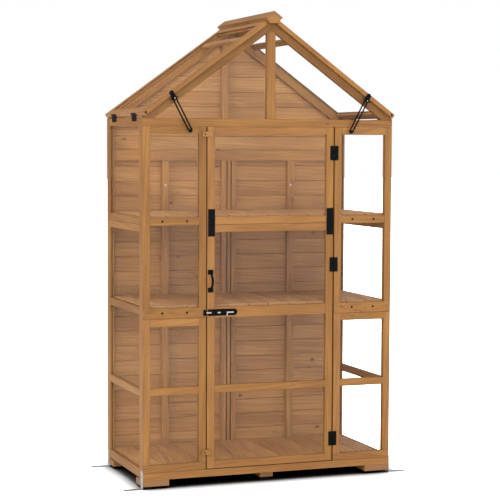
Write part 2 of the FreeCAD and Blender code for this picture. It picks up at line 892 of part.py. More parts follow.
def stay_studs():
    """Return the two threaded studs, each with a collar that holds the stay off the rafter."""
    start = Vec(stud.x, front + stud_bite, stud.z)
    length = stud_bite + front - stay_face + knob_depth + 2 * fit
    rod = Part.makeCylinder(stud_radius, length, start, Vec(0, -1, 0))
    collar_length = front - stay_rear - fit
    collar = Part.makeCylinder(stud_collar_radius, collar_length, Vec(stud.x, front, stud.z), Vec(0, -1, 0))
    right = rod.fuse(collar).removeSplitter().Solids[0]
    return [right, mirrored(right)]


def stud_holes():
    """Return the hole of each stud in its rafter, as screws without a head."""
    return [screw(Vec(x, front, stud.z), Vec(0, 1, 0), stud_radius, stud_bite, 0, 0)
            for x in (-stud.x, stud.x)]


def stay_knob():
    """Return the right winged knob, with its wings square to the stay."""
    near = stay_face - fit
    hub = Part.makeCylinder(knob_hub_radius, knob_depth, Vec(stud.x, near, stud.z), Vec(0, -1, 0))
    span = centred(stud.x, knob_span - knob_wing)
    wings = box(span, (near - knob_depth, near - fit), centred(stud.z, knob_wing))
    for x in span:
        tip = Vec(x, near - fit, stud.z)
        wings = wings.fuse(Part.makeCylinder(knob_wing / 2, knob_depth - fit, tip, Vec(0, -1, 0)))
    bore = Part.makeCylinder(stud_radius + pin_clearance, knob_depth,
                             Vec(stud.x, near, stud.z), Vec(0, -1, 0))
    knob = hub.fuse(wings).cut(bore).removeSplitter().Solids[0]
    knob.rotate(Vec(stud.x, near, stud.z), Vec(0, 1, 0), stay_lean)
    return knob


def right_roof_screws():
    """Return the stay's pivot screw, the rail's corner screws and the hinge screws of the panel."""
    pivot = screw(Vec(stay_pivot.x, stay_face - fit, stay_pivot.z), Vec(0, 1, 0), wood_screw_radius,
                  stay_screw_length, wood_screw_head, wood_screw_head_height)
    corner = eave + up_slope * (eave_rail_width / 3) + out * (roof_thickness / 2)
    ends = [(roof_across[0], Vec(0, 1, 0)), (roof_across[1], Vec(0, -1, 0))]
    corners = [wood_screw(Vec(corner.x, y, corner.z), way) for y, way in ends]
    axis_out = (Vec(roof_axis_x, 0, roof_axis_z) - eave).dot(out)
    seat_out = axis_out + roof_knuckle_radius + fitting_screw_head + 3 * knuckle_gap
    seat = eave + out * seat_out - up_slope * leaf_thickness
    hinges = [fitting_screw(Vec(seat.x, y, seat.z), up_slope) for y in roof_hinge_screw_places()]
    return [pivot] + corners + hinges


# Ground anchors and the screws of the frame
anchor_y = rear - anchor_inset


def ground_anchors():
    """Return four angle straps, each with a hole near the end of its foot."""
    along = centred(anchor_y, anchor_width)
    leg = box((wall, wall + anchor_thickness), along, (0, anchor_height))
    foot = box((wall, wall + anchor_reach), along, (0, anchor_thickness))
    hole = Part.makeCylinder(anchor_hole_radius, anchor_thickness,
                             Vec(wall + anchor_reach - anchor_hole_edge, anchor_y, 0))
    strap = leg.fuse(foot).cut(hole).removeSplitter().Solids[0]
    back = strap.mirror(Vec(0, 0, 0), Vec(0, 1, 0))
    return [strap, mirrored(strap), back, mirrored(back)]


def anchor_screws():
    levels = (foot_height + block_height / 2, base_level + apron_height / 2)
    return [fitting_screw(Vec(side * (wall + anchor_thickness), y, level), Vec(-side, 0, 0))
            for side in (-1, 1) for y in (-anchor_y, anchor_y) for level in levels]


def frame_screws():
    """Return the screws through the front rails into the shelf bearers."""
    levels = (middle_bearer_top - shelf_bearer_height / 2,
              upper_bearer_top - shelf_bearer_height + shelf_rail_rise + rail_height / 2)
    places = [x for light in (left_light, right_light)
              for x in (light[0] + light_screw_inset, light[1] - light_screw_inset)]
    return [wood_screw(Vec(x, front, z), Vec(0, 1, 0)) for x in places for z in levels]


def batten_screws():
    """Return one bright screw in each batten of the pair."""
    start = Vec(batten_place, batten_wall[0], back_rail_top - batten_screw_drop)
    length = timber + plank_thickness - batten_screw_cover
    return [screw(Vec(side * start.x, start.y, start.z), Vec(0, 1, 0), wood_screw_radius, length,
                  wood_screw_head, wood_screw_head_height) for side in (-1, 1)]


def both_sides(items):
    """Return right-hand solids and their mirrored twins."""
    return items, [mirrored(item) for item in items]


def mirrored_screw(item):
    start = Vec(-item.start.x, item.start.y, item.start.z)
    direction = Vec(-item.direction.x, item.direction.y, item.direction.z)
    return item._replace(start=start, direction=direction)


def roof_hinge_fixed_screws():
    level = side_top - roof_hinge_drop / 2
    return [fitting_screw(Vec(side * (wall + leaf_thickness), y, level), Vec(-side, 0, 0))
            for side in (-1, 1) for y in roof_hinge_screw_places()]


def build():
    """Return the solids and the screws of every node."""
    parts = {}
    parts["round_feet"] = round_feet()
    parts["foot_blocks"] = foot_blocks()
    parts["front_apron"] = front_apron()
    under_floor = floor_level - board_thickness
    parts["floor_bearers"] = bearers(under_floor, under_floor - base_level, floor_bearer_width)
    parts["floor_boards"] = boards(floor_level)
    parts["shelf_bearers"] = (bearers(middle_bearer_top, shelf_bearer_height, shelf_bearer_width)
                              + bearers(upper_bearer_top, shelf_bearer_height, shelf_bearer_width))
    parts["middle_shelf_boards"] = boards(middle_shelf_level)
    parts["upper_shelf_boards"] = boards(upper_shelf_level)

    parts["front_panes"] = []
    for name, across in (("left_light", left_light), ("right_light", right_light)):
        for level, frame in (("lower", light_lower), ("upper", light_upper)):
            members, sheets = frame(across)
            parts[name + "_" + level + "_frame"] = members
            parts["front_panes"] += sheets
    parts["front_tie_beam"] = front_tie_beam()
    parts["front_rafters"] = front_rafters()
    parts["king_post"] = king_post()
    parts["gable_panes"] = gable_panes()

    parts["side_panes"] = []
    for level, frame in (("lower", side_lower), ("upper", side_upper)):
        members, sheets = frame()
        right, left = both_sides(members)
        parts["right_side_" + level + "_frame"] = right
        parts["left_side_" + level + "_frame"] = left
        parts["side_panes"] += sum(both_sides(sheets), [])

    parts["back_planks"] = back_planks()
    parts["back_rails"] = back_rails()
    parts["back_battens"] = back_battens()
    parts["back_rafters"] = back_rafters()
    parts["ridge_beam"] = ridge_beam()
    parts["ridge_cap_boards"] = ridge_cap_boards()
    parts["door_hinge_fixed_leaves"] = door_hinge_leaves(False)
    parts["roof_hinge_fixed_leaves"] = sum(both_sides(roof_hinge_fixed_leaves()), [])
    parts["hinge_pins"] = hinge_pins()
    parts["bolt_keeper"] = bolt_keeper()
    parts["stay_studs"] = stay_studs()
    parts["ground_anchors"] = ground_anchors()

    door_low = (apron_top + door_bottom_gap, door_split)
    low_rails = [raised(door_low[0], rail_height), raised(low_rail_level, rail_height), mid_rail,
                 hung(door_split, rail_height)]
    parts["door_lower_frame"], low_sheets = glazed_frame(
        "front", door_across, door_low, front_wall, (door_stile, door_stile), low_rails)
    door_high = (door_split + seam, tie_beam_low - door_top_gap)
    high_rails = [raised(door_high[0], rail_height), hung(door_high[1], rail_height)]
    parts["door_upper_frame"], high_sheets = glazed_frame(
        "front", door_across, door_high, front_wall, (door_stile, door_stile), high_rails)
    parts["door_panes"] = low_sheets + high_sheets
    parts["door_strap_plates"] = door_strap_plates()
    parts["door_hinge_leaves"] = door_hinge_leaves(True)
    parts["door_handle"] = door_handle()
    parts["bolt_plate"] = bolt_plate()
    parts["barrel_bolt"] = barrel_bolt()
    parts["bottom_turn_button"] = turn_button(button_levels[0])
    parts["top_turn_button"] = turn_button(button_levels[1])

    members, sheets = roof_panel()
    parts["right_roof_frame"], parts["left_roof_frame"] = both_sides(members)
    parts["right_roof_sheet"], parts["left_roof_sheet"] = both_sides(sheets)
    parts["right_roof_hinge_leaves"], parts["left_roof_hinge_leaves"] = both_sides(roof_hinge_leaves())
    parts["right_stay"], parts["left_stay"] = both_sides([roof_stay()])
    parts["right_stay_knob"], parts["left_stay_knob"] = both_sides([stay_knob()])

    screws = {
        "frame_screws": frame_screws(),
        "batten_screws": batten_screws(),
        "fitting_screws": (door_hinge_screws(1) + keeper_screws() + anchor_screws()
                           + roof_hinge_fixed_screws() + turn_button_screws()),
        "door_screws": door_hinge_screws(-1) + strap_screws() + handle_screws() + bolt_plate_screws(),
        "right_roof_screws": right_roof_screws(),
        "left_roof_screws": [mirrored_screw(item) for item in right_roof_screws()],
    }
    return parts, screws


parts, screws = build()
holes = [item for items in screws.values() for item in items] + stud_holes()
os.makedirs("parts", exist_ok=True)
for name, solids in parts.items():
    if name != "stay_studs":
        solids = [drilled(solid, holes) for solid in solids]
    Part.makeCompound(solids).exportStep("parts/" + name + ".step")
for name, items in screws.items():
    Part.makeCompound([screw_solid(item) for item in items]).exportStep("parts/" + name + ".step")
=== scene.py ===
import json
import math
import random

import bmesh
import bpy
import numpy as np
from mathutils import Matrix, Vector

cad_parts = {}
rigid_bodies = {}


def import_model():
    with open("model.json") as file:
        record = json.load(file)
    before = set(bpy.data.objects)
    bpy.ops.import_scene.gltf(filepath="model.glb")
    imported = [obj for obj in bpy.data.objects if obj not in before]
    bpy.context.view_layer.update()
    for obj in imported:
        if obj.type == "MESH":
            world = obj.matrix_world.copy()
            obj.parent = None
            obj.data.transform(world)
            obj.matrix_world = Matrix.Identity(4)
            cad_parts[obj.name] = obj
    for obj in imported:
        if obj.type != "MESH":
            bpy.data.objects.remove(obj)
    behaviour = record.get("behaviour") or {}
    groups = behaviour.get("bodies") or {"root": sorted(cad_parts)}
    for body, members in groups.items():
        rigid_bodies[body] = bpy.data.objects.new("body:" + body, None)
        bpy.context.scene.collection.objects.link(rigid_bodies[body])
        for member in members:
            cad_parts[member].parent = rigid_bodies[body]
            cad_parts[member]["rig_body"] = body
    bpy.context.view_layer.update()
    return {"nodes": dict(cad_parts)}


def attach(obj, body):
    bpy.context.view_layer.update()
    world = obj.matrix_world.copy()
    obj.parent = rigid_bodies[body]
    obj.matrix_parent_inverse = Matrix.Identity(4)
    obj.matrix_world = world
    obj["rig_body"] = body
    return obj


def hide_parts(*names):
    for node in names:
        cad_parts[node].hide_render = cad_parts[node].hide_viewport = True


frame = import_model()
nodes = frame["nodes"]
micrometres = 1e6

# What each piece is made of
timber_nodes = (
    "foot_blocks", "front_apron", "floor_bearers", "floor_boards", "shelf_bearers",
    "middle_shelf_boards", "upper_shelf_boards", "left_light_lower_frame", "left_light_upper_frame",
    "right_light_lower_frame", "right_light_upper_frame", "front_tie_beam", "front_rafters", "king_post",
    "left_side_lower_frame", "left_side_upper_frame", "right_side_lower_frame", "right_side_upper_frame",
    "back_rails", "back_battens", "back_rafters", "ridge_beam", "ridge_cap_boards", "door_lower_frame",
    "door_upper_frame", "top_turn_button", "bottom_turn_button", "left_roof_frame", "right_roof_frame",
)
planking_nodes = ("back_planks",)
clear_sheet_nodes = (
    "front_panes", "gable_panes", "side_panes", "door_panes", "left_roof_sheet", "right_roof_sheet",
)
black_fitting_nodes = (
    "door_hinge_fixed_leaves", "roof_hinge_fixed_leaves", "bolt_keeper", "door_strap_plates",
    "door_hinge_leaves", "door_handle", "bolt_plate", "left_roof_hinge_leaves", "right_roof_hinge_leaves",
    "left_stay", "right_stay",
)
black_screw_nodes = (
    "door_screws", "fitting_screws", "left_roof_screws", "right_roof_screws", "frame_screws",
)
drawn_rod_nodes = ("hinge_pins", "barrel_bolt", "stay_studs")
knob_nodes = ("left_stay_knob", "right_stay_knob")

# Edges that a plane or a file has eased, in metres
plank_edge = 0.0006
timber_edge = 0.0011
strip_edge = 0.0003
shortest_eased_edge = 0.009

# Patterns of the timber: how many to a metre along, across and through a board
knots_to_a_metre = (9.0, 16.0, 16.0)
drifts_to_a_metre = (1.6, 14.0, 14.0)
fibres_to_a_metre = (4.5, 190.0, 190.0)
blotches_to_a_metre = (3.0, 9.0, 9.0)

# Depths of the timber's streaks, and how fully the darkening of grime and painted shade covers an eased edge
fibre_depth = 0.44
late_wood_depth = 0.17
dirt_and_shade_cover = 0.85

# Rings of the timber, in metres: their spacing, how far they wander along a board and bend round a knot,
# how far from the heart of the tree a board was cut, and where along the pattern it starts
ring_spacing = 0.0065
ring_drift = 0.008
knot_bulge = 0.008
heart_distance = (0.03, 0.11)
board_start = (0, 40)

# Paleness of each node's boards, in parts of 8 per cent, with a part either way from board to board. The
# values per node are partly the timber's own tone and partly painted light: the shelves, floor and back
# inside are made paler for light they lack, and the lit front and left members darker.
frame_paleness = -2.4
paleness_spread = 1.0
paleness_limit = 6.0
paleness_and_painted_light = {
    "back_planks": 2.7, "back_rails": 1.2, "back_battens": 1.2, "floor_boards": 3.2,
    "middle_shelf_boards": 5.5, "upper_shelf_boards": 4.4, "front_rafters": -5.6, "king_post": -3.4,
    "front_tie_beam": -3.2, "left_light_upper_frame": -4.2, "left_side_upper_frame": -3.0,
    "left_side_lower_frame": -3.0,
}
# How far the oil has darkened the cut ends, where it isn't in full
end_stain = {"ridge_beam": 0.25, "middle_shelf_boards": 0.6, "upper_shelf_boards": 0.6}
# How far the eased edges are darkened, partly by grime and partly by painted shade, and how far painted
# shade darkens the chamfers along the planks' joints
edge_dirt_and_shade = 0.35
joint_shade = 0.2

# Fasteners, feet and anchors, in metres unless it is a count or a share: the crown's of the head's radius,
# the recess's arm and reach of the crown's radius, and its depth of the head's rise
screw_sides = 20
feet_sides = 40
large_head = 0.003
large_head_rise = 0.0012
small_head_rise = 0.001
crown_share = 0.78
recess_arm = 0.256
recess_reach = 0.78
recess_taper = 0.8
recess_depth = 0.8
anchor_outer_bend = 0.0035
anchor_inner_bend = 0.0016
anchor_bend_depth = 0.003


# Materials
def srgb(code):
    """Return an sRGB hex colour as linear light."""
    parts = [int(code[place:place + 2], 16) / 255 for place in (1, 3, 5)]
    linear = [part / 12.92 if part <= 0.04045 else ((part + 0.055) / 1.055) ** 2.4 for part in parts]
    return (*linear, 1.0)


def add_node(tree, kind, inputs=None, **settings):
    """Add a node to a material, with its settings, its plain values and its links."""
    node = tree.nodes.new(kind)
    for name, value in settings.items():
        setattr(node, name, value)
    for name, value in (inputs or {}).items():
        if isinstance(value, bpy.types.NodeSocket):
            tree.links.new(value, node.inputs[name])
        else:
            node.inputs[name].default_value = value
    return node


def start_material(name):
    """Return a new material and its empty node tree."""
    material = bpy.data.materials.new(name)
    material.use_nodes = True
    material.node_tree.nodes.clear()
    return material, material.node_tree


def fir_knots(tree, grain):
    """Return where the dark hearts of the knots are, and the halos in which they push the rings aside.

    Four cells in ten hold a knot, and a board cuts only some of them.
    """
    place = add_node(tree, "ShaderNodeMapping", {"Vector": grain, "Scale": knots_to_a_metre})
    cells = add_node(tree, "ShaderNodeTexVoronoi", {"Vector": place.outputs[0], "Scale": 1.0})
    tint = add_node(tree, "ShaderNodeSeparateColor", {"Color": cells.outputs["Color"]})
    has_knot = add_node(tree, "ShaderNodeMath", {0: tint.outputs[0], 1: 0.6}, operation="GREATER_THAN")
    shares = []
    for inside, outside in ((0.07, 0.13), (0.09, 0.35)):
        spread = add_node(tree, "ShaderNodeMapRange",
                          {"Value": cells.outputs["Distance"], "From Min": inside, "From Max": outside,
                           "To Min": 1.0, "To Max": 0.0},
                          interpolation_type="SMOOTHSTEP")
        share = add_node(tree, "ShaderNodeMath", {0: spread.outputs[0], 1: has_knot.outputs[0]},
                         operation="MULTIPLY")
        shares.append(share.outputs[0])
    return shares


def fir_rings(tree, grain, halo):
    """Return the late wood of rings that run round a board's heart and wander slowly along its length."""
    place = add_node(tree, "ShaderNodeMapping", {"Vector": grain, "Scale": drifts_to_a_metre})
    drift = add_node(tree, "ShaderNodeTexNoise", {"Vector": place.outputs[0], "Scale": 1.0, "Detail": 2.0})
    shift = add_node(tree, "ShaderNodeMath", {0: drift.outputs["Fac"], 1: ring_drift}, operation="MULTIPLY")
    bulge = add_node(tree, "ShaderNodeMath", {0: halo, 1: knot_bulge, 2: shift.outputs[0]},
                     operation="MULTIPLY_ADD")
    sides = add_node(tree, "ShaderNodeSeparateXYZ", {"Vector": grain})
    across = add_node(tree, "ShaderNodeCombineXYZ", {"Y": sides.outputs[1], "Z": sides.outputs[2]})
    radius = add_node(tree, "ShaderNodeVectorMath", {0: across.outputs[0]}, operation="LENGTH")
    pushed = add_node(tree, "ShaderNodeMath", {0: radius.outputs["Value"], 1: bulge.outputs[0]},
                      operation="ADD")
    count = add_node(tree, "ShaderNodeMath", {0: pushed.outputs[0], 1: 1 / ring_spacing},
                     operation="MULTIPLY")
    year = add_node(tree, "ShaderNodeMath", {0: count.outputs[0]}, operation="FRACT")
    late_wood = add_node(tree, "ShaderNodeMapRange",
                         {"Value": year.outputs[0], "From Min": 0.35, "From Max": 0.95, "To Min": 0.0,
                          "To Max": 1.0},
                         interpolation_type="SMOOTHSTEP")
    return late_wood.outputs[0]


def fir_streaks(tree, grain, late_wood):
    """Return how dark the fibres and the late wood are together."""
    place = add_node(tree, "ShaderNodeMapping", {"Vector": grain, "Scale": fibres_to_a_metre})
    fibres = add_node(tree, "ShaderNodeTexNoise",
                      {"Vector": place.outputs[0], "Scale": 1.0, "Detail": 3.0, "Roughness": 0.6})
    fine = add_node(tree, "ShaderNodeMapRange",
                    {"Value": fibres.outputs["Fac"], "From Min": 0.3, "From Max": 0.7, "To Min": 0.0,
                     "To Max": fibre_depth})
    broad = add_node(tree, "ShaderNodeMath", {0: late_wood, 1: late_wood_depth},
                     operation="MULTIPLY")
    streaks = add_node(tree, "ShaderNodeMath", {0: fine.outputs[0], 1: broad.outputs[0]}, operation="ADD")
    return streaks.outputs[0]


def fir_oil(tree, grain):
    """Return the tint of the oil, which soaks in deeper in blotches."""
    place = add_node(tree, "ShaderNodeMapping", {"Vector": grain, "Scale": blotches_to_a_metre})
    patches = add_node(tree, "ShaderNodeTexNoise", {"Vector": place.outputs[0], "Scale": 1.0, "Detail": 2.0})
    blotches = add_node(tree, "ShaderNodeMapRange",
                        {"Value": patches.outputs["Fac"], "From Min": 0.32, "From Max": 0.68, "To Min": 0.0,
                         "To Max": 1.0})
    oil = add_node(tree, "ShaderNodeMix", {0: blotches.outputs[0], 6: srgb("#E3CDA9"), 7: srgb("#FFF3DF")},
                   data_type="RGBA")
    return oil.outputs[2]


def fir_board_tone(tree, colour, tone):
    """Return a colour in a board's own tone: a pale board is also a little duller and yellower."""
    looks = {"Color": colour}
    for name, darkest, palest in (("Value", 0.52, 1.48), ("Hue", 0.499, 0.503), ("Saturation", 1.07, 0.88)):
        look = add_node(tree, "ShaderNodeMapRange",
                        {"Value": tone, "From Min": -paleness_limit, "From Max": paleness_limit,
                         "To Min": darkest, "To Max": palest})
        looks[name] = look.outputs[0]
    board = add_node(tree, "ShaderNodeHueSaturation", looks)
    return board.outputs[0]


def oiled_fir():
    """Planed fir under tinted oil: warm brown, streaked along each board, darker on the cut ends.

    Fir rings are 2 to 4 mm apart and its fibres finer still. Both are drawn at 5 to 6.5 mm, which is
    what shows at this distance. A colour mix takes its share at input 0 and its colours at 6 and 7.
    """
    material, tree = start_material("oiled_fir")
    grain = add_node(tree, "ShaderNodeAttribute", attribute_name="grain").outputs["Vector"]
    tone = add_node(tree, "ShaderNodeAttribute", attribute_name="tone").outputs["Fac"]
    cut_end = add_node(tree, "ShaderNodeAttribute", attribute_name="cut_end").outputs["Fac"]
    # This share marks where grime and painted shade darken the eased edges, and where painted shade darkens
    # the plank joints
    dirt_and_shade = add_node(tree, "ShaderNodeAttribute", attribute_name="eased").outputs["Fac"]
    heart, halo = fir_knots(tree, grain)
    streaks = fir_streaks(tree, grain, fir_rings(tree, grain, halo))

    bare = add_node(tree, "ShaderNodeMix", {0: streaks, 6: srgb("#AC7D3B"), 7: srgb("#5A3512")},
                    data_type="RGBA")
    stained = add_node(tree, "ShaderNodeMix", {0: 1.0, 6: bare.outputs[2], 7: fir_oil(tree, grain)},
                       data_type="RGBA", blend_type="MULTIPLY")
    board = fir_board_tone(tree, stained.outputs[2], tone)
    with_ends = add_node(tree, "ShaderNodeMix", {0: cut_end, 6: board, 7: srgb("#80572F")}, data_type="RGBA")
    dirt_and_shade_share = add_node(tree, "ShaderNodeMath", {0: dirt_and_shade, 1: dirt_and_shade_cover}, operation="MULTIPLY")
    # 57371B is grime on the eased edges together with painted shade along them and in the plank joints
    with_edges = add_node(tree, "ShaderNodeMix",
                          {0: dirt_and_shade_share.outputs[0], 6: with_ends.outputs[2], 7: srgb("#57371B")},
                          data_type="RGBA")
    with_knots = add_node(tree, "ShaderNodeMix", {0: heart, 6: with_edges.outputs[2], 7: srgb("#6A4422")},
                          data_type="RGBA")

    dullness = add_node(tree, "ShaderNodeMapRange",
                        {"Value": streaks, "From Min": 0.2, "From Max": 1.0, "To Min": 0.52, "To Max": 0.7})
    relief = add_node(tree, "ShaderNodeBump", {"Strength": 0.35, "Distance": 0.0007, "Height": streaks},
                      invert=True)
    surface = add_node(tree, "ShaderNodeBsdfPrincipled",
                       {"Base Color": with_knots.outputs[2], "Roughness": dullness.outputs[0],
                        "Normal": relief.outputs[0], "IOR": 1.46})
    add_node(tree, "ShaderNodeOutputMaterial", {"Surface": surface.outputs[0]})
    return material


def clear_acrylic():
    """Extruded acrylic sheet: water clear, with a thin milky film of fine scratches and a soft gloss."""
    material, tree = start_material("clear_acrylic")
    place = add_node(tree, "ShaderNodeTexCoord").outputs["Object"]
    film = add_node(tree, "ShaderNodeTexNoise", {"Vector": place, "Scale": 9.0, "Detail": 3.0})
    gloss = add_node(tree, "ShaderNodeMapRange",
                     {"Value": film.outputs["Fac"], "To Min": 0.05, "To Max": 0.12})
    share = add_node(tree, "ShaderNodeMapRange",
                     {"Value": film.outputs["Fac"], "To Min": 0.007, "To Max": 0.015})
    sheet = add_node(tree, "ShaderNodeBsdfPrincipled",
                     {"Base Color": srgb("#E8ECEB"), "Roughness": gloss.outputs[0], "IOR": 1.49})
    clear = add_node(tree, "ShaderNodeBsdfTransparent", {"Color": (1, 1, 1, 1)})
    surface = add_node(tree, "ShaderNodeMixShader",
                       {0: share.outputs[0], 1: clear.outputs[0], 2: sheet.outputs[0]})
    add_node(tree, "ShaderNodeOutputMaterial", {"Surface": surface.outputs[0]})
    return material


def gritty_surface(name, colour, metallic, roughness, grit_size, relief_depth, edge_radius, sheen=0.5):
    """Return a metal, coating or plastic whose gloss and height vary with a grit of one real size."""
    material, tree = start_material(name)
    place = add_node(tree, "ShaderNodeTexCoord").outputs["Object"]
    grit = add_node(tree, "ShaderNodeTexNoise", {"Vector": place, "Scale": 1 / grit_size, "Detail": 2.0})
    gloss = add_node(tree, "ShaderNodeMapRange",
                     {"Value": grit.outputs["Fac"], "To Min": roughness - 0.08, "To Max": roughness + 0.08})
    rounded = add_node(tree, "ShaderNodeBevel", {"Radius": edge_radius}, samples=4)
    relief = add_node(tree, "ShaderNodeBump",
                      {"Strength": 0.3, "Distance": relief_depth, "Height": grit.outputs["Fac"],
                       "Normal": rounded.outputs[0]})
    surface = add_node(tree, "ShaderNodeBsdfPrincipled",
                       {"Base Color": srgb(colour), "Metallic": metallic, "Roughness": gloss.outputs[0],
                        "Specular IOR Level": sheen, "Normal": relief.outputs[0]})
    add_node(tree, "ShaderNodeOutputMaterial", {"Surface": surface.outputs[0]})
    return material


# Timber pieces
def solids_of(node):
    """Return the closed solids of a node of the frame, as faces of corner points in micrometres."""
    mesh = nodes[node].data
    points = [tuple(round(value * micrometres) for value in vertex.co) for vertex in mesh.vertices]
    solids, faces, open_edges = [], [], set()
    for polygon in mesh.polygons:
        corners = [points[index] for index in polygon.vertices]
        if len(set(corners)) < 3:
            continue
        faces.append(corners)
        # An edge is open until its second face comes, and a solid is whole when none is left open
        for pair in zip(corners, corners[1:] + corners[:1]):
            open_edges ^= {frozenset(pair)}
        if not open_edges:
            solids.append(faces)
            faces = []
    return solids


def clean_solid(faces):
    """Return a solid as a mesh to work on, with its flat faces whole."""
    solid = bmesh.new()
    corners = {}
    for face in faces:
        for point in face:
            if point not in corners:
                corners[point] = solid.verts.new([value / micrometres for value in point])
        solid.faces.new([corners[point] for point in face])
    flat = math.radians(0.6)
    bmesh.ops.dissolve_limit(solid, angle_limit=flat, verts=solid.verts[:], edges=solid.edges[:])
    bmesh.ops.recalc_face_normals(solid, faces=solid.faces[:])
    return solid


def grain_directions(solid):
    """Return the directions along, across and through a board."""
    longest = max(solid.edges, key=lambda edge: round(edge.calc_length(), 5))
    along = (longest.verts[1].co - longest.verts[0].co).normalized()
    if max(along, key=abs) < 0:
        along = -along
    # A side is a face whose normal stands square to the board's length
    square = 0.01
    sides = [face for face in solid.faces if abs(face.normal.dot(along)) < square]
    through = max(sides, key=lambda face: round(face.calc_area(), 6)).normal.copy()
    return along, through.cross(along), through


def ease_edges(solid, width):
    """Round a piece's long outer edges over, and return the faces that this makes."""
    sharp = math.radians(20)
    edges = [edge for edge in solid.edges
             if edge.is_manifold and edge.is_convex and edge.calc_length() > shortest_eased_edge
             and edge.calc_face_angle() > sharp]
    made = bmesh.ops.bevel(solid, geom=edges, offset=width, segments=2, profile=0.6, affect="EDGES",
                           clamp_overlap=True)
    return made["faces"]


def timber_piece(node, edge_width, material):
    """Build the boards of one node with eased edges and a grain of their own."""
    # How far a face's normal leans along the board at a cut end, and through it at a joint's chamfer
    end_lean = 0.6
    joint_lean = (0.2, 0.9)
    grooved = node in planking_nodes
    end_depth = end_stain.get(node, 1.0)
    points, faces, smooth = [], [], []
    values = {"grain": [], "tone": [], "cut_end": [], "eased": []}
    for number, solid_faces in enumerate(solids_of(node)):
        chance = random.Random(node + str(number))
        board = clean_solid(solid_faces)
        along, across, through = grain_directions(board)
        eased = set(ease_edges(board, edge_width))
        middle = sum((vertex.co for vertex in board.verts), Vector()) / len(board.verts)
        turn = chance.uniform(0, math.tau)
        heart = chance.uniform(*heart_distance)
        start = chance.uniform(*board_start)
        offset = Vector((start, heart * math.cos(turn), heart * math.sin(turn)))
        # The value per node holds painted light as well as the boards' own tone
        tone = chance.uniform(-paleness_spread, paleness_spread) + paleness_and_painted_light.get(node, frame_paleness)
        first = len(points)
        board.verts.index_update()
        board.normal_update()
        for vertex in board.verts:
            reach = vertex.co - middle
            place = Vector((reach.dot(along), reach.dot(across), reach.dot(through)))
            points.append(vertex.co.copy())
            values["grain"].extend(place + offset)
            values["tone"].append(tone)
        for face in board.faces:
            lean = abs(face.normal.dot(through))
            cut = abs(face.normal.dot(along)) > end_lean and face not in eased
            sloped = joint_lean[0] < lean < joint_lean[1] and face not in eased
            faces.append([first + vertex.index for vertex in face.verts])
            smooth.append(face in eased)
            values["cut_end"].append(end_depth if cut else 0.0)
            # Eased faces get grime and painted shade, and a plank joint's chamfers get painted shade
            values["eased"].append(edge_dirt_and_shade if face in eased else joint_shade * (sloped and grooved))
        board.free()
    mesh = bpy.data.meshes.new(node + "_timber")
    mesh.from_pydata(points, [], faces)
    mesh.polygons.foreach_set("use_smooth", smooth)
    for name, kind, domain, field in (("grain", "FLOAT_VECTOR", "POINT", "vector"),
                                      ("tone", "FLOAT", "POINT", "value"),
                                      ("cut_end", "FLOAT", "FACE", "value"),
                                      ("eased", "FLOAT", "FACE", "value")):
        mesh.attributes.new(name, kind, domain).data.foreach_set(field, values[name])
    place_piece(mesh, material, node)


def place_piece(mesh, material, node):
    """Put a finished mesh in the scene in place of the frame's node."""
    mesh.materials.append(material)
    piece = bpy.data.objects.new(mesh.name, mesh)
    bpy.context.scene.collection.objects.link(piece)
    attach(piece, nodes[node]["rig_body"])
    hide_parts(node)


def finish_node(node, material):
    """Give its finish to a node whose shape in the frame is right."""
    for slot in nodes[node].material_slots:
        slot.material = material


# Screws, feet and anchors
def screw_line(faces):
    """Return the head's crown, the tip, the head's radius and the shank's radius of a screw."""
    points = np.array(sorted({point for face in faces for point in face}), float) / micrometres
    middle = points.mean(0)
    line = np.linalg.svd(points - middle)[2][0]
    reach = (points - middle) @ line
    off_line = np.linalg.norm(points - middle - np.outer(reach, line), axis=1)
    head_radius = off_line.max()
    if reach[off_line.argmax()] < 0:
        line, reach = -line, -reach
    at_tip = reach < reach.min() + 0.0001
    shank_radius = off_line[at_tip].max()
    crown = Vector(middle + line * reach.max())
    tip = Vector(middle + line * reach.min())
    return crown, tip, head_radius, shank_radius


def cross_recess(solid, crown, radius, depth):
    """Close a screw's crown with a cross-shaped recess."""
    arm = radius * recess_arm
    reach = radius * recess_reach
    outline = []
    for quarter in range(4):
        turn = Matrix.Rotation(quarter * math.pi / 2, 3, "Z")
        outline += [turn @ Vector(corner) for corner in ((reach, -arm, 0), (reach, arm, 0), (arm, arm, 0))]
    height = crown[0].co.z
    rim = [solid.verts.new((point.x, point.y, height)) for point in outline]
    rim_edges = [solid.edges.new((rim[i - 1], rim[i])) for i in range(len(rim))]
    crown_edges = [solid.edges.get((crown[i - 1], crown[i])) for i in range(len(crown))]
    bmesh.ops.bridge_loops(solid, edges=rim_edges + crown_edges)
    floor = [solid.verts.new((vertex.co.x * recess_taper, vertex.co.y * recess_taper, height - depth))
             for vertex in rim]
    for i in range(len(rim)):
        solid.faces.new((rim[i - 1], rim[i], floor[i], floor[i - 1]))
    solid.faces.new(floor)


def turned(solid, outline, sides):
    """Turn an outline of (radius, height) about Z, and return its rings of vertices."""
    angles = [i * math.tau / sides for i in range(sides)]
    rings = []
    for radius, height in outline:
        ring = [solid.verts.new((radius * math.cos(angle), radius * math.sin(angle), height))
                for angle in angles]
        if rings:
            for i in range(sides):
                solid.faces.new((rings[-1][i - 1], rings[-1][i], ring[i], ring[i - 1])).smooth = True
        rings.append(ring)
    return rings


def add_solid(whole, solid, move):
    """Move a finished solid to its place and add it to a node's mesh."""
    bmesh.ops.recalc_face_normals(solid, faces=solid.faces[:])
    bmesh.ops.transform(solid, matrix=move, verts=solid.verts[:])
    part = bpy.data.meshes.new("part")
    solid.to_mesh(part)
    whole.from_mesh(part)
    bpy.data.meshes.remove(part)
    solid.free()


def finished_mesh(whole, name):
    """Turn the gathered solids of a node into a mesh."""
    mesh = bpy.data.meshes.new(name)
    whole.to_mesh(mesh)
    whole.free()
    return mesh


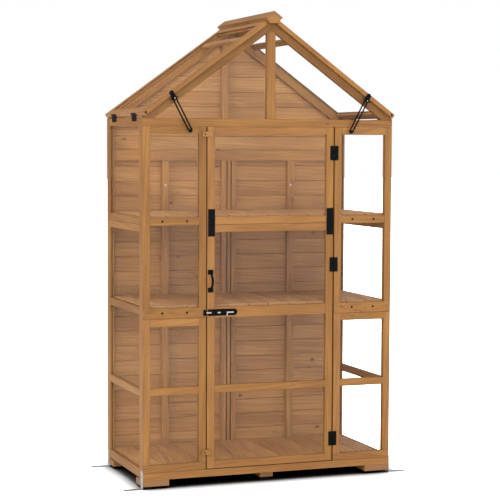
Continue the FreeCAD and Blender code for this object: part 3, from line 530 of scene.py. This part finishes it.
def screw_piece(node, material):
    """Build pan-head screws with cross recesses in place of a node's plain ones."""
    whole = bmesh.new()
    for faces in solids_of(node):
        crown, tip, head, shank = screw_line(faces)
        length = (crown - tip).length
        rise = large_head_rise if head > large_head else small_head_rise
        seat = length - rise
        # Radius and height, from the point up the shank and over the head
        outline = (
            (shank * 0.25, 0),
            (shank * 0.9, shank * 1.6),
            (shank, shank * 2),
            (shank, seat),
            (head, seat),
            (head, seat + rise * 0.3),
            (head * 0.93, seat + rise * 0.7),
            (head * crown_share, length),
        )
        solid = bmesh.new()
        rings = turned(solid, outline, screw_sides)
        solid.faces.new(rings[0])
        cross_recess(solid, rings[-1], head * crown_share, rise * recess_depth)
        turn = (crown - tip).to_track_quat("Z", "Y").to_matrix().to_4x4()
        add_solid(whole, solid, Matrix.Translation(tip) @ turn)
    place_piece(finished_mesh(whole, node + "_cross_head"), material, node)


def feet_piece(node, material):
    """Build moulded feet with rounded rims and a chamfered tread in place of a node's plain ones."""
    whole = bmesh.new()
    for faces in solids_of(node):
        points = np.array([point for face in faces for point in face], float) / micrometres
        low, high = points.min(0), points.max(0)
        radius = (high[0] - low[0]) / 2
        height = high[2] - low[2]
        # Radius and height, from the tread up the side and over the rim
        outline = (
            (radius * 0.55, 0.0015),
            (radius * 0.62, 0),
            (radius * 0.9, 0),
            (radius * 0.97, 0.0011),
            (radius, 0.0032),
            (radius, height - 0.0016),
            (radius * 0.965, height - 0.0004),
            (radius * 0.92, height),
        )
        solid = bmesh.new()
        rings = turned(solid, outline, feet_sides)
        solid.faces.new(rings[0])
        solid.faces.new(rings[-1])
        middle = ((low[0] + high[0]) / 2, (low[1] + high[1]) / 2, low[2])
        add_solid(whole, solid, Matrix.Translation(middle))
    place_piece(finished_mesh(whole, node + "_moulded"), material, node)


def anchor_piece(node, material):
    """Build the anchors as strip bent to a real radius, with its sheared edges eased."""
    bent = math.radians(60)
    whole = bmesh.new()
    for faces in solids_of(node):
        solid = clean_solid(faces)
        inner = [edge for edge in solid.edges
                 if not edge.is_convex and edge.calc_length() > shortest_eased_edge]
        corner = inner[0].verts[0].co
        # The outer edge of the bend is straight through the strip from the inner one
        outer = [edge for edge in solid.edges
                 if edge not in inner and edge.calc_length() > shortest_eased_edge
                 and all(math.hypot(vertex.co.x - corner.x, vertex.co.z - corner.z) < anchor_bend_depth
                         for vertex in edge.verts)]
        bmesh.ops.bevel(solid, geom=outer, offset=anchor_outer_bend, segments=4, profile=0.5, affect="EDGES")
        inner = [edge for edge in solid.edges
                 if edge.is_manifold and not edge.is_convex and edge.calc_length() > shortest_eased_edge
                 and edge.calc_face_angle() > bent]
        bmesh.ops.bevel(solid, geom=inner, offset=anchor_inner_bend, segments=3, profile=0.5, affect="EDGES")
        ease_edges(solid, strip_edge)
        add_solid(whole, solid, Matrix.Identity(4))
    place_piece(finished_mesh(whole, node + "_bent"), material, node)


fir = oiled_fir()
acrylic = clear_acrylic()
# Powder coat on steel: near black, a dull sheen; its 0.4 mm orange peel is drawn at 0.9 mm
black_powder_coat = gritty_surface("black_powder_coat", "#0B0D10", metallic=0.0, roughness=0.45,
                                   grit_size=0.0009, relief_depth=0.00006, edge_radius=0.0005, sheen=0.03)
# Zinc plate on steel: pale grey, with a soft crystal pattern about 4 mm across
zinc_plate = gritty_surface("zinc_plate", "#B4B5B4", metallic=1.0, roughness=0.4,
                            grit_size=0.004, relief_depth=0.00005, edge_radius=0.0005)
# Drawn steel rod: bright, with faint unevenness from the die
bright_steel = gritty_surface("bright_drawn_steel", "#A9A49C", metallic=1.0, roughness=0.24,
                              grit_size=0.0012, relief_depth=0.00002, edge_radius=0.0004)
# Screws blackened by heat: near black with a little gloss
blackened_steel = gritty_surface("blackened_steel", "#080606", metallic=0.0, roughness=0.42,
                                 grit_size=0.0008, relief_depth=0.00003, edge_radius=0.0002, sheen=0.14)
# Injection moulded nylon: black, evenly dull
moulded_nylon = gritty_surface("moulded_nylon", "#0C0D0F", metallic=0.0, roughness=0.4,
                               grit_size=0.0008, relief_depth=0.00003, edge_radius=0.0006, sheen=0.05)
# Nickel plate on steel: pale, softly bright
nickel_plate = gritty_surface("nickel_plate", "#F1EFEA", metallic=1.0, roughness=0.5,
                              grit_size=0.0012, relief_depth=0.00002, edge_radius=0.0002)

for node in timber_nodes:
    timber_piece(node, timber_edge, fir)
for node in planking_nodes:
    timber_piece(node, plank_edge, fir)
for node in black_screw_nodes:
    screw_piece(node, blackened_steel)
screw_piece("batten_screws", nickel_plate)
feet_piece("round_feet", moulded_nylon)
anchor_piece("ground_anchors", zinc_plate)
for group, material in ((clear_sheet_nodes, acrylic), (black_fitting_nodes, black_powder_coat),
                        (drawn_rod_nodes, bright_steel), (knob_nodes, moulded_nylon)):
    for node in group:
        finish_node(node, material)


# Floor, light and camera
def background_share(tree):
    """Return 1 where the camera sees the background, straight or through a clear sheet, and else 0."""
    ray = add_node(tree, "ShaderNodeLightPath")
    seen = add_node(tree, "ShaderNodeMath",
                    {0: ray.outputs["Is Camera Ray"], 1: ray.outputs["Is Transmission Ray"]},
                    operation="MAXIMUM")
    return seen.outputs[0]


def pale_floor(half_width, level):
    """Lay a matt pale floor that shows as white and keeps the shadow where the object stands, with a painted
    contact shade near the object, darkened by occlusion where the camera sees it.
    """
    grey, overexposure = 0.85, 2.2
    contact_reach, contact_depth = 0.18, 3.5
    material, tree = start_material("pale_floor")
    seen = background_share(tree)
    exposure = add_node(tree, "ShaderNodeMath", {0: seen, 1: overexposure, 2: grey},
                        operation="MULTIPLY_ADD")
    # Painted contact shade: what the camera sees of the floor darkens with the occlusion within reach of the
    # object
    crevice = add_node(tree, "ShaderNodeAmbientOcclusion", {"Distance": contact_reach}, samples=16)
    depth = add_node(tree, "ShaderNodeMath", {0: seen, 1: contact_depth}, operation="MULTIPLY")
    contact = add_node(tree, "ShaderNodeMath", {0: crevice.outputs["AO"], 1: depth.outputs[0]},
                       operation="POWER")
    shade = add_node(tree, "ShaderNodeMath", {0: exposure.outputs[0], 1: contact.outputs[0]},
                     operation="MULTIPLY")
    surface = add_node(tree, "ShaderNodeBsdfDiffuse", {"Color": shade.outputs[0]})
    add_node(tree, "ShaderNodeOutputMaterial", {"Surface": surface.outputs[0]})
    mesh = bpy.data.meshes.new("floor")
    corners = [(x * half_width, y * half_width, level) for x, y in ((-1, -1), (1, -1), (1, 1), (-1, 1))]
    mesh.from_pydata(corners, [], [(0, 1, 2, 3)])
    mesh.materials.append(material)
    floor = bpy.data.objects.new("floor", mesh)
    bpy.context.scene.collection.objects.link(floor)


def studio_world(left, right, above):
    """Light the object softly from all round, more from above and from the left, with white behind it."""
    world = bpy.data.worlds.new("studio")
    world.use_nodes = True
    tree = world.node_tree
    tree.nodes.clear()
    direction = add_node(tree, "ShaderNodeTexCoord").outputs["Generated"]
    sides = add_node(tree, "ShaderNodeSeparateXYZ", {"Vector": direction})
    level = add_node(tree, "ShaderNodeMapRange",
                     {"Value": sides.outputs[0], "From Min": -1.0, "From Max": 1.0, "To Min": left,
                      "To Max": right})
    height = add_node(tree, "ShaderNodeMapRange",
                      {"Value": sides.outputs[2], "From Min": 0.35, "From Max": 1.0, "To Min": 0.0,
                       "To Max": above})
    total = add_node(tree, "ShaderNodeMath", {0: level.outputs[0], 1: height.outputs[0]}, operation="ADD")
    soft = add_node(tree, "ShaderNodeBackground", {"Color": srgb("#FBFCFF"), "Strength": total.outputs[0]})
    white = add_node(tree, "ShaderNodeBackground", {"Color": (1, 1, 1, 1), "Strength": 1.0})
    mix = add_node(tree, "ShaderNodeMixShader",
                   {0: background_share(tree), 1: soft.outputs[0], 2: white.outputs[0]})
    add_node(tree, "ShaderNodeOutputWorld", {"Surface": mix.outputs[0]})
    bpy.context.scene.world = world


def soft_lamp(name, place, aim, size, watts):
    """Hang a square lamp that shines at a point."""
    light = bpy.data.lights.new(name, "AREA")
    light.shape = "SQUARE"
    light.size = size
    light.energy = watts
    lamp = bpy.data.objects.new(name, light)
    lamp.location = place
    lamp.rotation_euler = (Vector(aim) - Vector(place)).to_track_quat("-Z", "Y").to_euler()
    bpy.context.scene.collection.objects.link(lamp)


def photo_camera(place, turn, dip, roll):
    """Set the camera at a place, turned from +Y to the left, tipped up and rolled by angles in degrees."""
    turn, dip, roll = math.radians(turn), math.radians(dip), math.radians(roll)
    forward = Vector((-math.sin(turn) * math.cos(dip), math.cos(turn) * math.cos(dip), math.sin(dip)))
    level = forward.cross(Vector((0, 0, 1))).normalized()
    above = level.cross(forward)
    right = level * math.cos(roll) + above * math.sin(roll)
    up = above * math.cos(roll) - level * math.sin(roll)
    data = bpy.data.cameras.new("photo_camera")
    data.lens = 115.17
    data.sensor_width = 36.0
    data.shift_x = 0.00503
    data.shift_y = 0.0114
    camera = bpy.data.objects.new("photo_camera", data)
    camera.matrix_world = Matrix.Translation(place) @ Matrix((right, up, -forward)).transposed().to_4x4()
    bpy.context.scene.collection.objects.link(camera)
    bpy.context.scene.camera = camera


pale_floor(half_width=60.0, level=-0.0003)
studio_world(left=0.34, right=0.2, above=1.5)
soft_lamp("key", place=(-2.6, -5.8, 1.1), aim=(0, 0, 0.7), size=4.5, watts=118)
soft_lamp("side", place=(-5.2, -1.6, 2.6), aim=(0, 0, 0.9), size=3.0, watts=172)
soft_lamp("fill", place=(2.2, -6.2, 1.5), aim=(0, 0, 0.8), size=4.0, watts=128)
soft_lamp("top", place=(-1.6, -8.8, 8.5), aim=(0, 0, 0.7), size=6.0, watts=510)
photo_camera(place=(-2.45905, -6.64756, 1.44495), turn=-20.293, dip=-3.9395, roll=0.231)
bpy.context.scene.view_settings.view_transform = "Standard"
